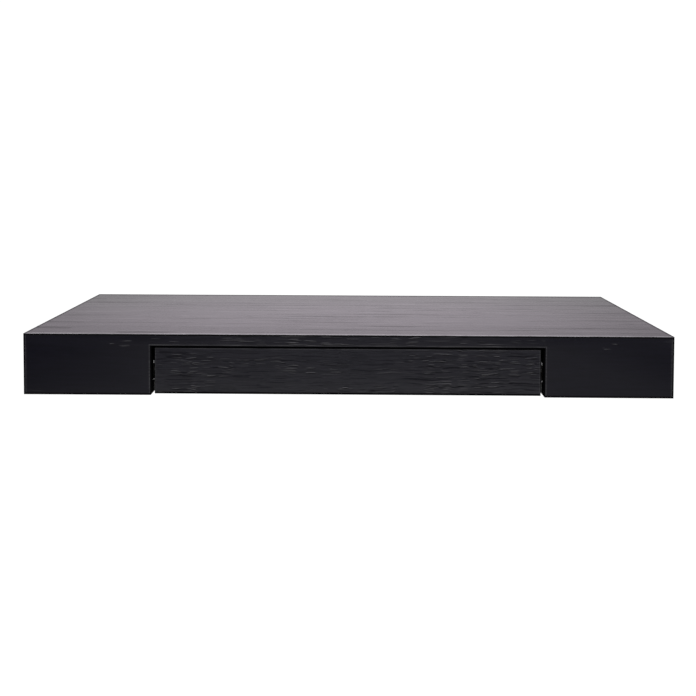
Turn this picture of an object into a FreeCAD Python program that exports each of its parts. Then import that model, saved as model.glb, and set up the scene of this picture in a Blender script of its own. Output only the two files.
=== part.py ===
import FreeCAD
import Part
import Sketcher
import os
import re

# Wall-hung shelf with one drawer. X runs along the width, the front faces -Y, Z is up.
# The wall is the plane y = 0, and z = 0 is the axis of the rods that carry the shelf.

SIZES = {
    # Outer board box
    "shelf_width": "800",
    "shelf_depth": "250",
    "shelf_height": "76",
    "panel_thickness": "15",
    "inner_thickness": "12",
    "arris": "0.8",
    "bay_width": "485",
    # Dowels
    "dowel_diameter": "6",
    "dowel_clearance": "0.2",
    "dowel_end_gap": "0.5",
    "dowel_depth": "20",
    "dowel_cover": "4",
    # Wall bracket
    "rail_thickness": "3",
    "rail_recess": "8",
    "rail_end_gap": "15",
    "rail_edge_gap": "4.5",
    "rail_corner": "5",
    "wall_hole": "6",
    "inner_hole_spacing": "320",
    "rod_diameter": "12",
    "rod_length": "140",
    "rod_clearance": "0.6",
    "rod_tip_chamfer": "1",
    "rod_tip_margin": "2",
    "tenon_diameter": "8",
    "tenon_clearance": "0.2",
    "tenon_recess": "0.3",
    "rear_batten_depth": "40",
    "rod_batten_depth": "30",
    "lock_screw": "4",
    "lock_head": "8",
    "lock_clearance": "0.3",
    "lock_tip_gap": "0.3",
    # Drawer
    "front_thickness": "12",
    "front_side_gap": "5",
    "front_top_gap": "1.5",
    "front_rise": "2",
    "side_thickness": "12",
    "side_headroom": "7",
    "side_lift": "10",
    "back_thickness": "12",
    "bottom_thickness": "3",
    "bottom_inset": "6",
    "groove_depth": "5",
    "groove_clearance": "0.3",
    # Ball slides
    "slide_thickness": "10",
    "slide_height": "27",
    "slide_rise": "17",
    "slide_sheet": "1",
    "slide_bend": "0.5",
    "slide_front_gap": "0.5",
    "slide_rear_gap": "17.5",
    "race_radius": "1.7",
    "hook_straight": "0.4",
    "ball_diameter": "3",
    "ball_pitch": "10",
    "ball_clearance": "0.3",
    "cage_sheet": "0.5",
    "cage_gap": "0.25",
    "cage_lip": "0.6",
    "cage_length": "40",
    "cage_stop": "13",
    "tab_width": "8",
    "ear_length": "1.4",
    "buffer_length": "5",
    "buffer_depth": "5",
    "stop_gap": "0.3",
    # Small screws
    "screw_diameter": "3.2",
    "screw_clearance": "0.3",
    "screw_head": "6",
    "screw_head_height": "1.8",
    "screw_cover": "2.5",
    "recess_length": "3",
    "recess_width": "0.8",
    "recess_depth": "1",
    "outer_screw_inset": "8",
    "outer_screw_rear": "20",
    "inner_screw_inset": "32",
    "bottom_screw_length": "14",
    "bottom_screw_margin": "60",
}

# Places that follow from the sizes.
PLACES = {
    "half_width": "shelf_width / 2",
    "cavity": "shelf_height - panel_thickness - inner_thickness",
    "under_top": "cavity / 2",
    "top": "under_top + panel_thickness",
    "block_floor": "-cavity / 2",
    "underside": "block_floor - inner_thickness",
    "front": "-shelf_depth",
    "fascia_back": "front + panel_thickness",
    "end_inside": "half_width - panel_thickness",
    "bay_side": "bay_width / 2",
    "wall_outside": "bay_side + inner_thickness",
    "wall_middle": "bay_side + inner_thickness / 2",
    "wall_length": "-rail_recess - fascia_back",
    "block_width": "end_inside - wall_outside",
    "block_middle": "(end_inside + wall_outside) / 2",
    "inner_rod": "wall_outside + block_width / 4",
    "outer_rod": "wall_outside + block_width * 3 / 4",
    "rear_rail_front": "-rail_recess - inner_thickness",
    "rear_rail_middle": "-rail_recess - inner_thickness / 2",
    "rear_batten_front": "-rail_recess - rear_batten_depth",
    "lock_place": "-rail_recess - rear_batten_depth / 2",
    "rod_tip": "-rail_thickness - rod_length",
    "rod_batten_front": "rod_tip - rod_tip_margin",
    "rail_half_length": "end_inside - rail_end_gap",
    "rail_half_height": "cavity / 2 - rail_edge_gap",
    "dowel_hole": "dowel_diameter + dowel_clearance",
    "front_back": "front + front_thickness",
    "box_half": "bay_side - slide_thickness",
    "box_inside": "box_half - side_thickness",
    "side_middle": "box_half - side_thickness / 2",
    "side_low": "underside + side_lift",
    "side_high": "under_top - side_headroom",
    "slide_axis": "side_low + slide_rise",
    "slide_front": "front_back + slide_front_gap",
    "slide_rear": "rear_rail_front - slide_rear_gap",
    "box_rear": "slide_rear - slide_front_gap",
    "back_front": "box_rear - back_thickness",
    "back_middle": "box_rear - back_thickness / 2",
    "floor_low": "side_low + bottom_inset",
    "floor_high": "floor_low + bottom_thickness",
    "groove_high": "floor_high + groove_clearance",
    "low_dowel": "groove_high + (side_high - groove_high) / 4",
    "high_dowel": "groove_high + (side_high - groove_high) * 3 / 4",
    "half_slide": "slide_height / 2",
    "ball_row": "half_slide - slide_sheet - race_radius",
    "ball_line": "2 * slide_sheet + 2 * cage_gap + cage_sheet + race_radius",
    "inner_web": "slide_thickness - slide_sheet",
    "inner_lip": "ball_row - race_radius",
    "inner_rear": "slide_rear - buffer_length - stop_gap",
    "cage_web": "slide_sheet + cage_gap",
    "cage_low": "hook_end + cage_gap",
    "drawer_travel": "inner_rear - ear_length - stop_gap - slide_front - cage_stop - cage_length",
    "cage_front": "slide_front + cage_stop + drawer_travel / 2",
    "tab_rear": "slide_front + cage_stop - stop_gap",
    "hook_end": "ball_row + hook_straight",
    "ear_end": "half_slide - slide_sheet - stop_gap",
    "first_ball": "cage_front + (cage_length - 3 * ball_pitch) / 2",
    "outer_screw_front": "slide_front + outer_screw_inset",
    "outer_screw_back": "slide_rear - outer_screw_rear",
    "inner_screw_front": "slide_front + inner_screw_inset",
    "inner_screw_back": "inner_rear - inner_screw_inset",
    "screw_hole": "screw_diameter + screw_clearance",
    "screw_reach": "inner_thickness - screw_cover",
}

doc = FreeCAD.newDocument("floating_shelf")
sheet = doc.addObject("Spreadsheet::Sheet", "Sizes")
for row, (alias, size) in enumerate(SIZES.items(), start=1):
    sheet.set(f"A{row}", alias)
    sheet.set(f"B{row}", size)
    sheet.setAlias(f"B{row}", alias)
doc.recompute()

nodes = []
SIDES = {"left": -1, "right": 1}


def full(expression):
    """The expression with each place spelled out in cells of the sheet."""

    def spelled(match):
        word = match.group(0)
        if word in PLACES:
            return "(" + full(PLACES[word]) + ")"
        return "Sizes." + word

    return re.sub("[a-z][a-z_]*", spelled, expression)


def value(expression):
    return float(sheet.evalExpression(full(expression)))


def across(side, place):
    """A place along X, on the left or the right half."""
    return f"{side} * ({place})"


def span(side, inner, outer):
    """A range along X between an inner and an outer place of one half, lowest first."""
    if side > 0:
        return inner, outer
    return across(side, outer), across(side, inner)


def new_body(label):
    body = doc.addObject("PartDesign::Body", label)
    body.Label = label
    nodes.append(body)
    return body


def rectangle(low_a, high_a, low_b, high_b):
    return [(low_a, low_b), (high_a, low_b), (high_a, high_b), (low_a, high_b)]


def cross(middle_a, middle_b):
    """The twelve corners of a screw's cross recess."""
    arm = "recess_length / 2"
    half = "recess_width / 2"
    steps = [(half, half), (half, arm), (f"-{half}", arm), (f"-{half}", half), (f"-{arm}", half),
             (f"-{arm}", f"-{half}"), (f"-{half}", f"-{half}"), (f"-{half}", f"-{arm}"),
             (half, f"-{arm}"), (half, f"-{half}"), (arm, f"-{half}"), (arm, half)]
    return [(f"{middle_a} + ({a})", f"{middle_b} + ({b})") for a, b in steps]


def hold_point(sketch, geometry, point, place_a, place_b):
    """Ties a point of the sketch to two places measured from the origin."""
    for kind, place in (("DistanceX", place_a), ("DistanceY", place_b)):
        held = sketch.addConstraint(Sketcher.Constraint(kind, -1, 1, geometry, point, value(place)))
        sketch.setExpression(f"Constraints[{held}]", full(place))


def draw_polygon(sketch, corners):
    points = [FreeCAD.Vector(value(a), value(b), 0) for a, b in corners]
    lines = []
    for number, point in enumerate(points):
        following = points[(number + 1) % len(points)]
        lines.append(sketch.addGeometry(Part.LineSegment(point, following), False))
    for number, line in enumerate(lines):
        following = lines[(number + 1) % len(lines)]
        sketch.addConstraint(Sketcher.Constraint("Coincident", line, 2, following, 1))
    for line, (place_a, place_b) in zip(lines, corners):
        hold_point(sketch, line, 1, place_a, place_b)


def draw_circle(sketch, place_a, place_b, diameter):
    middle = FreeCAD.Vector(value(place_a), value(place_b), 0)
    upward = FreeCAD.Vector(0, 0, 1)
    circle = sketch.addGeometry(Part.Circle(middle, upward, value(diameter) / 2), False)
    hold_point(sketch, circle, 3, place_a, place_b)
    held = sketch.addConstraint(Sketcher.Constraint("Diameter", circle, value(diameter)))
    sketch.setExpression(f"Constraints[{held}]", full(diameter))


def extrude(body, kind, plane, low, high, polygons=(), circles=(), taper="0"):
    """Pads or pockets outlines on one of the body's origin planes, from low to high along its axis."""
    sketch = body.newObject("Sketcher::SketchObject", "Outline")
    for feature in body.Origin.OriginFeatures:
        if feature.Role == plane:
            sketch.AttachmentSupport = [(feature, "")]
    sketch.MapMode = "FlatFace"
    # The normal of the XZ plane points to the front, so a pad on it starts at its rear end.
    starts_high = (kind == "Pad") == (plane == "XZ_Plane")
    start = high if starts_high else low
    toward = "-1" if plane == "XZ_Plane" else "1"
    sketch.setExpression("AttachmentOffset.Base.z", full(f"{toward} * ({start})"))
    for corners in polygons:
        draw_polygon(sketch, corners)
    for place_a, place_b, diameter in circles:
        draw_circle(sketch, place_a, place_b, diameter)
    volume = body.Shape.Volume if body.Tip else 0
    feature = body.newObject(f"PartDesign::{kind}", kind)
    feature.Profile = sketch
    feature.setExpression("Length", full(f"({high}) - ({low})"))
    feature.setExpression("TaperAngle", full(taper))
    doc.recompute()
    grown = body.Shape.Volume - volume
    if (grown > 0) != (kind == "Pad") or abs(grown) < 0.001:
        raise ValueError(f"{kind} of {body.Label} changed its volume by {grown}")
    sketch.Visibility = False


def pad(body, plane, low, high, polygons=(), circles=(), taper="0"):
    extrude(body, "Pad", plane, low, high, polygons, circles, taper)


def pocket(body, plane, low, high, polygons=(), circles=(), taper="0"):
    extrude(body, "Pocket", plane, low, high, polygons, circles, taper)


def finish_edges(body, kind, size, wanted):
    """Rounds or chamfers the straight or circular edges whose points all pass the test."""
    solid = body.Tip
    names = []
    for number, edge in enumerate(solid.Shape.Edges, start=1):
        points = [edge.valueAt(edge.FirstParameter), edge.valueAt(edge.LastParameter),
                  edge.valueAt((edge.FirstParameter + edge.LastParameter) / 2)]
        if all(wanted(point) for point in points):
            names.append(f"Edge{number}")
    if not names:
        raise ValueError(f"{body.Label} has no edge to finish")
    feature = body.newObject(f"PartDesign::{kind}", kind)
    feature.Base = (solid, names)
    feature.setExpression("Radius" if kind == "Fillet" else "Size", full(size))
    doc.recompute()


def near(measured, place):
    return abs(measured - value(place)) < 0.001


def board(label, low_x, high_x, low_y, high_y, low_z, high_z):
    body = new_body(label)
    pad(body, "XY_Plane", low_z, high_z, [rectangle(low_x, high_x, low_y, high_y)])
    return body


# Outer box: four boards folded together at 45 degree mitres, with their outer arrises broken.

WALL_DOWELS = [f"fascia_back + wall_length * {share} / 6" for share in (1, 3, 5)]
END_DOWELS = ["block_floor + cavity / 4", "under_top - cavity / 4"]

top_panel = new_body("top_panel")
pad(top_panel, "YZ_Plane", "-half_width", "half_width", [[
    ("0", "top"), ("0", "under_top"), ("fascia_back", "under_top"),
    ("front + arris / 2", "top - arris / 2"), ("front + arris", "top")]])
pocket(top_panel, "XZ_Plane", "front", "0", [[
    (across(side, "half_width - arris"), "top"),
    (across(side, "half_width - arris / 2"), "top - arris / 2"),
    (across(side, "end_inside"), "under_top"),
    (across(side, "half_width"), "under_top"),
    (across(side, "half_width"), "top")] for side in SIDES.values()])
pocket(top_panel, "XY_Plane", "under_top", "top - dowel_cover", circles=[
    (across(side, "wall_middle"), place, "dowel_hole")
    for side in SIDES.values() for place in WALL_DOWELS])

front_fascia = new_body("front_fascia")
pad(front_fascia, "XZ_Plane", "front", "fascia_back", [[
    ("-half_width", "underside"), ("-bay_side", "underside"), ("-bay_side", "under_top"),
    ("bay_side", "under_top"), ("bay_side", "underside"), ("half_width", "underside"),
    ("half_width", "top"), ("-half_width", "top")]])
pocket(front_fascia, "YZ_Plane", "-half_width", "half_width", [[
    ("front", "top - arris"), ("front + arris / 2", "top - arris / 2"),
    ("fascia_back", "under_top"), ("fascia_back", "top"), ("front", "top")]])
pocket(front_fascia, "XY_Plane", "underside", "top", [[
    (across(side, "half_width - arris"), "front"),
    (across(side, "half_width - arris / 2"), "front + arris / 2"),
    (across(side, "end_inside"), "fascia_back"),
    (across(side, "half_width"), "fascia_back"),
    (across(side, "half_width"), "front")] for side in SIDES.values()])
finish_edges(front_fascia, "Fillet", "arris", lambda point: near(point.y, "front") and (
    near(point.z, "underside") or near(abs(point.x), "bay_side")
    or (near(point.z, "under_top") and abs(point.x) < value("bay_side") + 0.001)))

for name, side in SIDES.items():
    end_panel = new_body(f"{name}_end_panel")
    pad(end_panel, "XZ_Plane", "front", "0", [[
        (across(side, "half_width"), "underside"),
        (across(side, "half_width"), "top - arris"),
        (across(side, "half_width - arris / 2"), "top - arris / 2"),
        (across(side, "end_inside"), "under_top"),
        (across(side, "end_inside"), "underside")]])
    pocket(end_panel, "XY_Plane", "underside", "top", [[
        (across(side, "half_width"), "front + arris"),
        (across(side, "half_width - arris / 2"), "front + arris / 2"),
        (across(side, "end_inside"), "fascia_back"),
        (across(side, "end_inside"), "front"),
        (across(side, "half_width"), "front")]])
    finish_edges(end_panel, "Fillet", "arris", lambda point: near(abs(point.x), "half_width")
                 and near(point.z, "underside"))

# Inside of the two blocks: bay walls, bottoms and the bored battens that take the rods.

for name, side in SIDES.items():
    low_x, high_x = span(side, "bay_side", "wall_outside")
    bay_wall = board(f"{name}_bay_wall", low_x, high_x, "fascia_back", "-rail_recess",
                     "underside", "under_top")
    pocket(bay_wall, "XY_Plane", "under_top - dowel_depth", "under_top", circles=[
        (across(side, "wall_middle"), place, "dowel_hole") for place in WALL_DOWELS])
    low_x, high_x = span(side, "bay_side", "wall_outside - dowel_cover")
    pocket(bay_wall, "YZ_Plane", low_x, high_x, circles=[
        ("rear_rail_middle", place, "dowel_hole") for place in END_DOWELS])
    low_x, high_x = span(side, "bay_side", "bay_side + screw_reach")
    pocket(bay_wall, "YZ_Plane", low_x, high_x, circles=[
        (place, "slide_axis", "screw_hole") for place in ("outer_screw_front", "outer_screw_back")])

    low_x, high_x = span(side, "wall_outside", "end_inside")
    bottom = board(f"{name}_block_bottom", low_x, high_x, "fascia_back", "0",
                   "underside", "block_floor")
    lock_place = (across(side, "inner_rod"), "lock_place")
    pocket(bottom, "XY_Plane", "underside", "block_floor",
           circles=[(*lock_place, "lock_screw + lock_clearance")])
    finish_edges(bottom, "Chamfer", "(lock_head - lock_screw) / 2", lambda point: (
        near(point.z, "underside")
        and abs(point.x - value(across(side, "inner_rod"))) < value("lock_head") / 2
        and abs(point.y - value("lock_place")) < value("lock_head") / 2))

    rod_bores = [(across(side, rod), "0", "rod_diameter + rod_clearance")
                 for rod in ("inner_rod", "outer_rod")]
    rear_batten = board(f"{name}_rear_batten", low_x, high_x, "rear_batten_front", "-rail_recess",
                        "block_floor", "under_top")
    pocket(rear_batten, "XZ_Plane", "rear_batten_front", "-rail_recess", circles=rod_bores)
    pocket(rear_batten, "XY_Plane", "block_floor", "0",
           circles=[(*lock_place, "lock_screw + lock_clearance")])

    rod_batten = board(f"{name}_rod_batten", low_x, high_x, "rod_batten_front",
                       "rod_batten_front + rod_batten_depth", "block_floor", "under_top")
    pocket(rod_batten, "XZ_Plane", "rod_batten_front", "rod_batten_front + rod_batten_depth",
           circles=rod_bores)

# Board across the back of the bay, and the dowels that tie it and the top to the bay walls.

bay_rear_rail = board("bay_rear_rail", "-bay_side", "bay_side", "rear_rail_front", "-rail_recess",
                      "block_floor", "under_top")
carcass_dowels = new_body("carcass_dowels")
pad(carcass_dowels, "XY_Plane", "under_top - dowel_depth + dowel_end_gap",
    "top - dowel_cover - dowel_end_gap", circles=[
        (across(side, "wall_middle"), place, "dowel_diameter")
        for side in SIDES.values() for place in WALL_DOWELS])
for side in SIDES.values():
    low_x, high_x = span(side, "bay_side - dowel_depth", "bay_side")
    pocket(bay_rear_rail, "YZ_Plane", low_x, high_x, circles=[
        ("rear_rail_middle", place, "dowel_hole") for place in END_DOWELS])
    low_x, high_x = span(side, "bay_side - dowel_depth + dowel_end_gap",
                         "wall_outside - dowel_cover - dowel_end_gap")
    pad(carcass_dowels, "YZ_Plane", low_x, high_x, circles=[
        ("rear_rail_middle", place, "dowel_diameter") for place in END_DOWELS])

# Wall bracket: a steel strip with screw holes, and rods riveted into it.

RODS = [across(side, rod) for side in SIDES.values() for rod in ("inner_rod", "outer_rod")]
WALL_HOLES = [across(side, place) for side in SIDES.values()
              for place in ("inner_hole_spacing / 2", "block_middle")]

wall_rail = new_body("wall_rail")
pad(wall_rail, "XZ_Plane", "-rail_thickness", "0", [rectangle(
    "-rail_half_length", "rail_half_length", "-rail_half_height", "rail_half_height")])
finish_edges(wall_rail, "Fillet", "rail_corner", lambda point: (
    near(abs(point.x), "rail_half_length") and near(abs(point.z), "rail_half_height")))
pocket(wall_rail, "XZ_Plane", "-rail_thickness", "0",
       circles=[(place, "0", "wall_hole") for place in WALL_HOLES]
       + [(rod, "0", "tenon_diameter + tenon_clearance") for rod in RODS])

support_rods = new_body("support_rods")
pad(support_rods, "XZ_Plane", "rod_tip", "-rail_thickness",
    circles=[(rod, "0", "rod_diameter") for rod in RODS])
pad(support_rods, "XZ_Plane", "-rail_thickness", "-tenon_recess",
    circles=[(rod, "0", "tenon_diameter") for rod in RODS])
finish_edges(support_rods, "Chamfer", "rod_tip_chamfer", lambda point: near(point.y, "rod_tip"))

lock_screws = new_body("lock_screws")
LOCKS = [(across(side, "inner_rod"), "lock_place") for side in SIDES.values()]
pad(lock_screws, "XY_Plane", "underside", "-rod_diameter / 2 - lock_tip_gap",
    circles=[(*lock, "lock_screw") for lock in LOCKS])
pad(lock_screws, "XY_Plane", "underside", "underside + (lock_head - lock_screw) / 2",
    circles=[(*lock, "lock_head") for lock in LOCKS], taper="-45")
pocket(lock_screws, "XY_Plane", "underside", "underside + recess_depth",
       [cross(*lock) for lock in LOCKS])

# Ball slides, one on each side of the bay. Their section is measured from the bay wall inward
# and from the slide's axis up and down.


def slide_place(side, inward):
    return across(side, f"bay_side - ({inward})")


def slide_section(side, corners):
    """The upper half of a section, from its corners, and the same half turned down."""
    upper = [(slide_place(side, inward), f"slide_axis + ({height})") for inward, height in corners]
    lower = [(slide_place(side, inward), f"slide_axis - ({height})") for inward, height in corners]
    return upper + lower[::-1]


def bend(body, inward, height, radius):
    """Rounds the two long edges of a slide member at one corner of its section."""
    finish_edges(body, "Fillet", radius, lambda point: (
        near(abs(point.x), f"bay_side - ({inward})")
        and abs(abs(point.z - value("slide_axis")) - value(height)) < 0.001))


def side_screws(label, side, seat, tip, places):
    """Pan-head screws along X, with the head's underside on the seat and the shank up to the tip."""
    screws = new_body(label)
    outward = value(tip) > value(seat)
    sign = "-" if outward else "+"
    face = f"{seat} {sign} screw_head_height"
    recess = f"{seat} {sign} (screw_head_height - recess_depth)"
    low_x, high_x = span(side, seat, tip) if outward else span(side, tip, seat)
    pad(screws, "YZ_Plane", low_x, high_x,
        circles=[(place, "slide_axis", "screw_diameter") for place in places])
    low_x, high_x = span(side, face, seat) if outward else span(side, seat, face)
    pad(screws, "YZ_Plane", low_x, high_x,
        circles=[(place, "slide_axis", "screw_head") for place in places])
    finish_edges(screws, "Fillet", "screw_head_height / 3", lambda point: near(abs(point.x), face))
    low_x, high_x = span(side, face, recess) if outward else span(side, recess, face)
    pocket(screws, "YZ_Plane", low_x, high_x, [cross(place, "slide_axis") for place in places])


OUTER_SCREWS = ("outer_screw_front", "outer_screw_back")
INNER_SCREWS = ("inner_screw_front", "inner_screw_back")

for name, side in SIDES.items():
    outer_rail = new_body(f"{name}_outer_rail")
    pad(outer_rail, "XZ_Plane", "slide_front", "slide_rear", [slide_section(side, [
        ("slide_sheet", "half_slide - slide_sheet"),
        ("ball_line + race_radius", "half_slide - slide_sheet"),
        ("ball_line + race_radius", "ball_row - hook_straight"),
        ("ball_line + race_radius + slide_sheet", "ball_row - hook_straight"),
        ("ball_line + race_radius + slide_sheet", "half_slide"),
        ("0", "half_slide")])])
    bend(outer_rail, "ball_line + race_radius", "half_slide - slide_sheet", "race_radius")
    bend(outer_rail, "ball_line + race_radius + slide_sheet", "half_slide",
         "race_radius + slide_sheet")
    bend(outer_rail, "slide_sheet", "half_slide - slide_sheet", "slide_bend")
    bend(outer_rail, "0", "half_slide", "slide_bend + slide_sheet")
    low_x, high_x = span(side, "bay_side - slide_sheet", "bay_side")
    pocket(outer_rail, "YZ_Plane", low_x, high_x, circles=[
        (place, "slide_axis", "screw_hole") for place in OUTER_SCREWS])
    # A tab stops the cage when the drawer is fully out.
    low_x, high_x = span(side, "bay_side - cage_web - cage_sheet - cage_gap",
                         "bay_side - slide_sheet")
    pad(outer_rail, "XZ_Plane", "tab_rear - slide_sheet", "tab_rear", [rectangle(
        low_x, high_x, "slide_axis - tab_width / 2", "slide_axis + tab_width / 2")])
    side_screws(f"{name}_outer_rail_screws", side, "bay_side - slide_sheet",
                "bay_side + screw_reach - screw_clearance", OUTER_SCREWS)

    low_x, high_x = span(side, "bay_side - slide_sheet - buffer_depth", "bay_side - slide_sheet")
    buffer_half = "half_slide - slide_sheet - slide_bend - stop_gap"
    board(f"{name}_rail_buffer", low_x, high_x, "slide_rear - buffer_length", "slide_rear",
          f"slide_axis - ({buffer_half})", f"slide_axis + ({buffer_half})")

    inner_rail = new_body(f"{name}_inner_rail")
    pad(inner_rail, "XZ_Plane", "slide_front", "inner_rear", [slide_section(side, [
        ("inner_web", "inner_lip - slide_sheet"),
        ("ball_line - race_radius - slide_sheet", "inner_lip - slide_sheet"),
        ("ball_line - race_radius - slide_sheet", "hook_end"),
        ("ball_line - race_radius", "hook_end"),
        ("ball_line - race_radius", "inner_lip"),
        ("slide_thickness", "inner_lip")])])
    bend(inner_rail, "ball_line - race_radius", "inner_lip", "race_radius")
    bend(inner_rail, "ball_line - race_radius - slide_sheet", "inner_lip - slide_sheet",
         "race_radius + slide_sheet")
    bend(inner_rail, "inner_web", "inner_lip - slide_sheet", "slide_bend")
    bend(inner_rail, "slide_thickness", "inner_lip", "slide_bend + slide_sheet")
    low_x, high_x = span(side, "box_half", "box_half + slide_sheet")
    pocket(inner_rail, "YZ_Plane", low_x, high_x, circles=[
        (place, "slide_axis", "screw_hole") for place in INNER_SCREWS])
    # Ears at its rear end run against the cage and so end the travel.
    low_x, high_x = span(side, "bay_side - ball_line + race_radius",
                         "bay_side - ball_line + race_radius + slide_sheet")
    pad(inner_rail, "XZ_Plane", "inner_rear - ear_length", "inner_rear", [
        rectangle(low_x, high_x, "slide_axis + hook_end", "slide_axis + ear_end"),
        rectangle(low_x, high_x, "slide_axis - ear_end", "slide_axis - hook_end")])
    side_screws(f"{name}_inner_rail_screws", side, "box_half + slide_sheet",
                "box_half - side_thickness + screw_cover + screw_clearance", INNER_SCREWS)

    ball_places = [f"first_ball + {number} * ball_pitch" for number in range(4)]
    ball_cage = new_body(f"{name}_ball_cage")
    pad(ball_cage, "XZ_Plane", "cage_front", "cage_front + cage_length", [slide_section(side, [
        ("cage_web + cage_sheet", "cage_low"),
        ("ball_line + cage_lip", "cage_low"),
        ("ball_line + cage_lip", "cage_low + cage_sheet"),
        ("cage_web", "cage_low + cage_sheet")])])
    cage_half = "cage_low + cage_sheet"
    pocket(ball_cage, "XY_Plane", f"slide_axis - ({cage_half})", f"slide_axis + {cage_half}",
           circles=[(slide_place(side, "ball_line"), place, "ball_diameter + ball_clearance")
                    for place in ball_places])

    balls = []
    for place in ball_places:
        for row in ("slide_axis - ball_row", "slide_axis + ball_row"):
            ball = doc.addObject("Part::Sphere", f"{name}_ball")
            ball.setExpression("Radius", full("ball_diameter / 2"))
            ball.setExpression("Placement.Base.x", full(slide_place(side, "ball_line")))
            ball.setExpression("Placement.Base.y", full(place))
            ball.setExpression("Placement.Base.z", full(row))
            balls.append(ball)
    cage_balls = doc.addObject("Part::Compound", f"{name}_cage_balls")
    cage_balls.Label = f"{name}_cage_balls"
    cage_balls.Links = balls
    nodes.append(cage_balls)

# Drawer: the front's lower edge reaches below the box, and fingers pull it there.

DRAWER_DOWELS = ("low_dowel", "high_dowel")
BOTTOM_SCREWS = [(place, "back_middle") for place in (
    "-box_inside + bottom_screw_margin", "0", "box_inside - bottom_screw_margin")]

drawer_front = board("drawer_front", "-bay_side + front_side_gap", "bay_side - front_side_gap",
                     "front", "front_back", "underside + front_rise", "under_top - front_top_gap")
finish_edges(drawer_front, "Fillet", "arris", lambda point: near(point.y, "front"))
pocket(drawer_front, "XZ_Plane", "front_back - groove_depth", "front_back", [rectangle(
    "-box_inside - groove_depth", "box_inside + groove_depth", "floor_low", "groove_high")])
pocket(drawer_front, "XZ_Plane", "front + dowel_cover", "front_back", circles=[
    (across(side, "side_middle"), height, "dowel_hole")
    for side in SIDES.values() for height in DRAWER_DOWELS])

drawer_back = board("drawer_back", "-box_inside", "box_inside", "back_front", "box_rear",
                    "floor_high", "side_high")
pocket(drawer_back, "XY_Plane", "floor_high", "floor_low + bottom_screw_length + screw_clearance",
       circles=[(*place, "screw_hole") for place in BOTTOM_SCREWS])

drawer_bottom = board("drawer_bottom", "-box_inside - groove_depth + groove_clearance",
                      "box_inside + groove_depth - groove_clearance",
                      "front_back - groove_depth + groove_clearance", "box_rear",
                      "floor_low", "floor_high")
pocket(drawer_bottom, "XY_Plane", "floor_low", "floor_high",
       circles=[(*place, "screw_hole") for place in BOTTOM_SCREWS])

bottom_screws = new_body("drawer_bottom_screws")
pad(bottom_screws, "XY_Plane", "floor_low", "floor_low + bottom_screw_length",
    circles=[(*place, "screw_diameter") for place in BOTTOM_SCREWS])
pad(bottom_screws, "XY_Plane", "floor_low - screw_head_height", "floor_low",
    circles=[(*place, "screw_head") for place in BOTTOM_SCREWS])
finish_edges(bottom_screws, "Fillet", "screw_head_height / 3",
             lambda point: near(point.z, "floor_low - screw_head_height"))
pocket(bottom_screws, "XY_Plane", "floor_low - screw_head_height",
       "floor_low - screw_head_height + recess_depth", [cross(*place) for place in BOTTOM_SCREWS])

drawer_dowels = new_body("drawer_dowels")
pad(drawer_dowels, "XZ_Plane", "front + dowel_cover + dowel_end_gap",
    "front_back + dowel_depth - dowel_end_gap", circles=[
        (across(side, "side_middle"), height, "dowel_diameter")
        for side in SIDES.values() for height in DRAWER_DOWELS])

for name, side in SIDES.items():
    low_x, high_x = span(side, "box_inside", "box_half")
    drawer_side = board(f"drawer_{name}_side", low_x, high_x, "front_back", "box_rear",
                        "side_low", "side_high")
    low_x, high_x = span(side, "box_inside", "box_inside + groove_depth")
    pocket(drawer_side, "XZ_Plane", "front_back", "box_rear",
           [rectangle(low_x, high_x, "floor_low", "groove_high")])
    pocket(drawer_side, "XZ_Plane", "front_back", "front_back + dowel_depth", circles=[
        (across(side, "side_middle"), height, "dowel_hole") for height in DRAWER_DOWELS])
    back_dowels = [("back_middle", height) for height in DRAWER_DOWELS]
    low_x, high_x = span(side, "box_inside", "box_half - dowel_cover")
    pocket(drawer_side, "YZ_Plane", low_x, high_x,
           circles=[(*place, "dowel_hole") for place in back_dowels])
    low_x, high_x = span(side, "box_half - side_thickness + screw_cover", "box_half")
    pocket(drawer_side, "YZ_Plane", low_x, high_x, circles=[
        (place, "slide_axis", "screw_hole") for place in INNER_SCREWS])
    low_x, high_x = span(side, "box_inside - dowel_depth", "box_inside")
    pocket(drawer_back, "YZ_Plane", low_x, high_x,
           circles=[(*place, "dowel_hole") for place in back_dowels])
    low_x, high_x = span(side, "box_inside - dowel_depth + dowel_end_gap",
                         "box_half - dowel_cover - dowel_end_gap")
    pad(drawer_dowels, "YZ_Plane", low_x, high_x,
        circles=[(*place, "dowel_diameter") for place in back_dowels])

# Every piece is checked and written to its own file.

doc.recompute()
for item in doc.Objects:
    if "Invalid" in item.State or "Error" in item.State:
        raise RuntimeError(f"{item.Label} was not computed")
os.makedirs("parts", exist_ok=True)
for node in nodes:
    if node.Shape.isNull() or not node.Shape.isValid():
        raise RuntimeError(f"{node.Label} has no valid shape")
    node.Shape.exportStep(f"parts/{node.Label}.step")
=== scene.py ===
import math

import bpy
from mathutils import Matrix, Vector


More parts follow.
